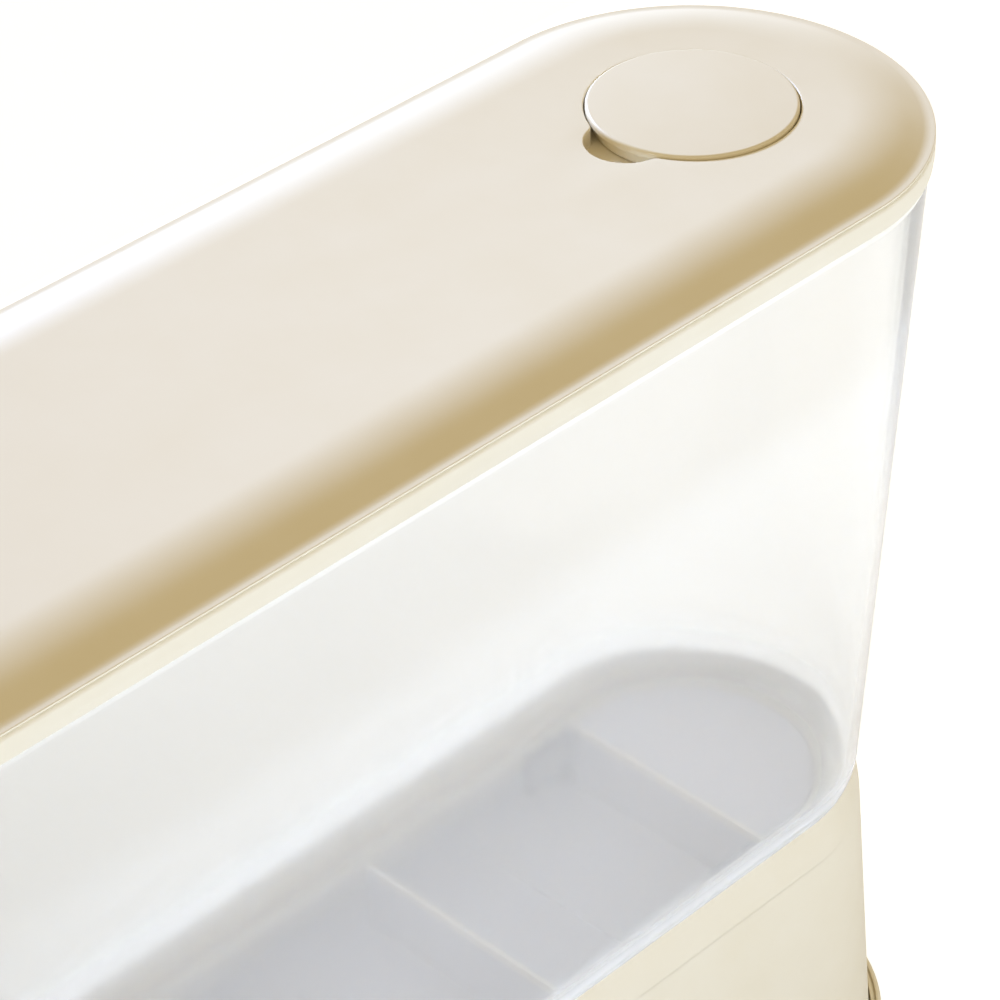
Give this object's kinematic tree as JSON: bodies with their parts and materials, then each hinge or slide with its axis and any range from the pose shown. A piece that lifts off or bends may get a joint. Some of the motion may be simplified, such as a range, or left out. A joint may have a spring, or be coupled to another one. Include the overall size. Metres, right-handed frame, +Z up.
{
  "type": "grain dispenser",
  "caption": "Long oval grain dispenser: clear tapered hopper on a cream base, lift-off lid with a round cap, and a sprung gate that fills a pull-out cup.",
  "frame": {"origin": "middle of the footprint, on the surface that the feet stand on", "axes": "+Z up, +X along the length towards the end with the round cap, +Y across the width"},
  "size_m": [0.4898, 0.15, 0.3913],
  "materials": {
    "cream_plastic": "satin moulded",
    "clear_plastic": "frosted clear moulded",
    "white_plastic": "satin moulded",
    "silicone": "matte",
    "foot_rubber": "matte",
    "steel": "bright zinc"
  },
  "bodies": {
    "base": {"hopper": "clear_plastic", "outlet_gasket": "silicone", "base_shell": "cream_plastic", "deck_tray": "white_plastic", "plinth": "cream_plastic", "plinth_screws": "steel", "rubber_feet": "foot_rubber", "cup_bay": "cream_plastic", "gate_housing": "white_plastic", "gate_cover": "white_plastic", "housing_screws": "steel", "button_bezel": "cream_plastic", "spring_guide_rod": "steel", "gate_spring": "steel"},
    "lid": {"lid": "cream_plastic", "lid_gasket": "silicone", "desiccant_basket": "white_plastic"},
    "cap": {"lid_cap": "cream_plastic", "cap_seal": "silicone"},
    "gate": {"gate_slide": "white_plastic", "push_button": "cream_plastic"},
    "cup": {"measuring_cup": "clear_plastic"}
  },
  "joints": [
    {"name": "lid_lift", "type": "slide", "parent": "base", "child": "lid", "axis": [0, 0, 1], "range_m": [0, 0.12]},
    {"name": "cap_lift", "type": "slide", "parent": "lid", "child": "cap", "axis": [0, 0, 1], "range_m": [0, 0.05]},
    {"name": "button_press", "type": "slide", "parent": "base", "child": "gate", "axis": [1, 0, 0], "range_m": [0, 0.011], "stiffness_N_per_m": 300, "springref_m": -0.004, "deforming": ["gate_spring"]},
    {"name": "cup_pull", "type": "slide", "parent": "base", "child": "cup", "axis": [-1, 0, 0], "range_m": [0, 0.13]}
  ]
}
